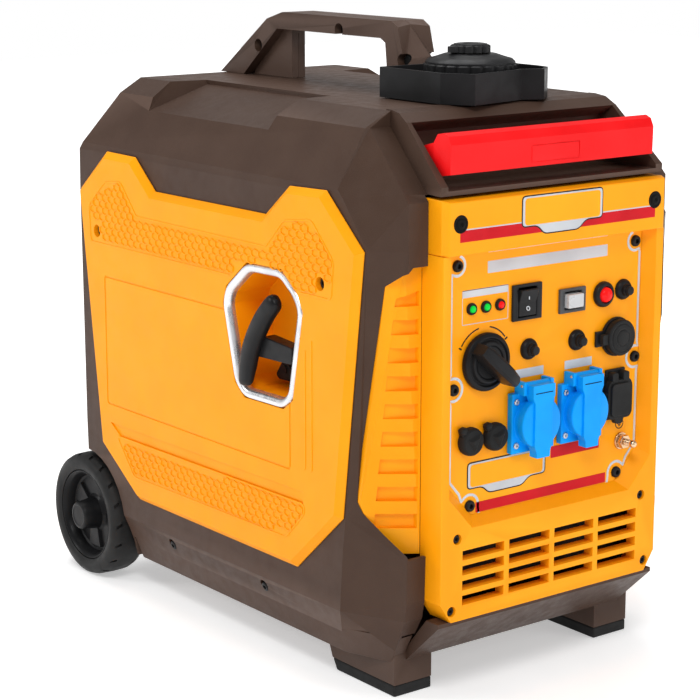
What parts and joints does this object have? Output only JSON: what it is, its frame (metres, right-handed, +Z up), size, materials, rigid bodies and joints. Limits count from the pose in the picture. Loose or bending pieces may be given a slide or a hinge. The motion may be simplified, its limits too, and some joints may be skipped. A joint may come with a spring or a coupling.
{
  "type": "portable generator",
  "caption": "Portable inverter generator in a boxy moulded enclosure with two rear wheels, front feet, carry handle, folding pull handle, recoil starter and recessed control panel.",
  "frame": {"origin": "middle of the bounding box, on the ground", "axes": "+Z up, the control panel faces -Y, the recoil starter is on the -X side, the wheels are at +Y"},
  "size_m": [0.38, 0.5846, 0.5765],
  "materials": {
    "black_plastic": "satin black",
    "black_rubber": "matte black",
    "blue_plastic": "satin blue",
    "brown_plastic": "fine textured dark brown",
    "cast_aluminium": "cast",
    "lamp_lens": "clear coloured lens",
    "red_plastic": "satin red",
    "silver_trim": "satin silver plating",
    "steel": "plain steel",
    "tyre": "matte black",
    "white_plastic": "gloss white",
    "yellow_plastic": "satin orange-yellow"
  },
  "bodies": {
    "enclosure": {"access_panel_left": "yellow_plastic", "access_panel_right": "yellow_plastic", "base_pan": "brown_plastic", "breaker_1": "black_plastic", "breaker_2": "black_plastic", "breaker_3": "black_plastic", "carry_handle_left_half": "brown_plastic", "carry_handle_right_half": "brown_plastic", "control_panel": "yellow_plastic", "corner_louvre_left": "yellow_plastic", "corner_louvre_right": "yellow_plastic", "dc_socket": "black_plastic", "drip_tray": "black_plastic", "eco_switch_frame": "black_plastic", "enclosure_left_half": "brown_plastic", "enclosure_right_half": "brown_plastic", "engine_and_alternator": "cast_aluminium", "engine_switch_frame": "black_plastic", "fascia_panel": "yellow_plastic", "front_bezel": "yellow_plastic", "front_foot_pad_left": "black_rubber", "front_foot_pad_right": "black_rubber", "fuel_tank": "black_plastic", "ground_terminal": "steel", "indicator_lamps": "lamp_lens", "inverter_module": "cast_aluminium", "mains_socket_1": "blue_plastic", "mains_socket_2": "blue_plastic", "muffler": "steel", "pull_handle_hood": "brown_plastic", "rear_cover": "yellow_plastic", "recoil_bezel": "silver_trim", "recoil_housing": "black_plastic", "recoil_pocket": "yellow_plastic", "reset_button_bezel": "black_plastic", "rope_guide": "black_plastic", "usb_socket": "black_plastic", "wheel_axle": "steel"},
    "wheel_left": {"tyre_left": "tyre", "wheel_hub_left": "black_plastic"},
    "wheel_right": {"tyre_right": "tyre", "wheel_hub_right": "black_plastic"},
    "crankshaft": {"crankshaft_and_rotor": "steel"},
    "pull_handle": {"pull_handle": "red_plastic"},
    "fuel_cap": {"fuel_cap": "black_plastic"},
    "vent_knob": {"vent_knob": "black_plastic"},
    "recoil_grip": {"recoil_grip": "black_plastic"},
    "socket_lid_1": {"socket_lid_1": "blue_plastic"},
    "socket_lid_2": {"socket_lid_2": "blue_plastic"},
    "engine_switch_rocker": {"engine_switch_rocker": "black_plastic"},
    "eco_switch_rocker": {"eco_switch_rocker": "white_plastic"},
    "reset_button": {"reset_button": "red_plastic"},
    "breaker_button_1": {"breaker_button_1": "black_plastic"},
    "breaker_button_2": {"breaker_button_2": "black_plastic"},
    "breaker_button_3": {"breaker_button_3": "black_plastic"},
    "fuel_and_choke_knob": {"fuel_and_choke_knob": "black_plastic"},
    "dc_socket_cap": {"dc_socket_cap": "black_rubber"},
    "usb_socket_cap": {"usb_socket_cap": "black_rubber"},
    "parallel_outlet_cap_1": {"parallel_outlet_cap_1": "black_rubber"},
    "parallel_outlet_cap_2": {"parallel_outlet_cap_2": "black_rubber"}
  },
  "joints": [
    {"name": "wheel_left_spin", "type": "hinge", "parent": "enclosure", "child": "wheel_left", "pos_m": [-0.184, 0.22875, 0.0635], "axis": [1, 0, 0], "continuous": true},
    {"name": "wheel_right_spin", "type": "hinge", "parent": "enclosure", "child": "wheel_right", "pos_m": [0.184, 0.22875, 0.0635], "axis": [1, 0, 0], "continuous": true},
    {"name": "crankshaft_spin", "type": "hinge", "parent": "enclosure", "child": "crankshaft", "pos_m": [0, -0.02825, 0.215], "axis": [1, 0, 0], "continuous": true},
    {"name": "pull_handle_swing", "type": "hinge", "parent": "enclosure", "child": "pull_handle", "pos_m": [0, -0.22625, 0.474], "axis": [-1, 0, 0], "range_deg": [0, 60]},
    {"name": "fuel_cap_turn", "type": "hinge", "parent": "enclosure", "child": "fuel_cap", "pos_m": [0, -0.15925, 0.546], "axis": [0, 0, 1], "range_deg": [0, 300]},
    {"name": "vent_knob_turn", "type": "hinge", "parent": "fuel_cap", "child": "vent_knob", "pos_m": [0, -0.15925, 0.5525], "axis": [0, 0, 1], "range_deg": [0, 90]},
    {"name": "recoil_pull", "type": "slide", "parent": "enclosure", "child": "recoil_grip", "axis": [-1, 0, 0], "range_m": [0, 0.65], "stiffness_N_per_m": 20, "springref_m": -0.15},
    {"name": "socket_lid_1_swing", "type": "hinge", "parent": "enclosure", "child": "socket_lid_1", "pos_m": [-0.0205, -0.27705, 0.275], "axis": [-1, 0, 0], "range_deg": [0, 86], "stiffness_Nm_per_rad": 0.03, "springref_deg": -17.19},
    {"name": "socket_lid_2_swing", "type": "hinge", "parent": "enclosure", "child": "socket_lid_2", "pos_m": [0.038, -0.27705, 0.275], "axis": [-1, 0, 0], "range_deg": [0, 86], "stiffness_Nm_per_rad": 0.03, "springref_deg": -17.19},
    {"name": "engine_switch_rock", "type": "hinge", "parent": "enclosure", "child": "engine_switch_rocker", "pos_m": [-0.0265, -0.26775, 0.347], "axis": [1, 0, 0], "range_deg": [-18, 0]},
    {"name": "eco_switch_rock", "type": "hinge", "parent": "enclosure", "child": "eco_switch_rocker", "pos_m": [0.0275, -0.26775, 0.342], "axis": [1, 0, 0], "range_deg": [0, 18]},
    {"name": "reset_button_push", "type": "slide", "parent": "enclosure", "child": "reset_button", "axis": [0, 1, 0], "range_m": [0, 0.003], "stiffness_N_per_m": 400, "springref_m": -0.001},
    {"name": "breaker_button_1_push", "type": "slide", "parent": "enclosure", "child": "breaker_button_1", "axis": [0, 1, 0], "range_m": [0, 0.003], "stiffness_N_per_m": 400, "springref_m": -0.001},
    {"name": "breaker_button_2_push", "type": "slide", "parent": "enclosure", "child": "breaker_button_2", "axis": [0, 1, 0], "range_m": [0, 0.003], "stiffness_N_per_m": 400, "springref_m": -0.001},
    {"name": "breaker_button_3_push", "type": "slide", "parent": "enclosure", "child": "breaker_button_3", "axis": [0, 1, 0], "range_m": [0, 0.003], "stiffness_N_per_m": 400, "springref_m": -0.001},
    {"name": "fuel_and_choke_turn", "type": "hinge", "parent": "enclosure", "child": "fuel_and_choke_knob", "pos_m": [-0.0735, -0.26705, 0.3006], "axis": [0, -1, 0], "range_deg": [-60, 60]},
    {"name": "dc_socket_cap_swing", "type": "hinge", "parent": "enclosure", "child": "dc_socket_cap", "pos_m": [0.061, -0.27375, 0.302], "axis": [0, 0, -1], "range_deg": [0, 100]},
    {"name": "usb_socket_cap_swing", "type": "hinge", "parent": "enclosure", "child": "usb_socket_cap", "pos_m": [0.0825, -0.27375, 0.2695], "axis": [-1, 0, 0], "range_deg": [0, 110]},
    {"name": "parallel_outlet_cap_1_pull", "type": "slide", "parent": "enclosure", "child": "parallel_outlet_cap_1", "axis": [0, -1, 0], "range_m": [0, 0.015]},
    {"name": "parallel_outlet_cap_2_pull", "type": "slide", "parent": "enclosure", "child": "parallel_outlet_cap_2", "axis": [0, -1, 0], "range_m": [0, 0.015]}
  ]
}
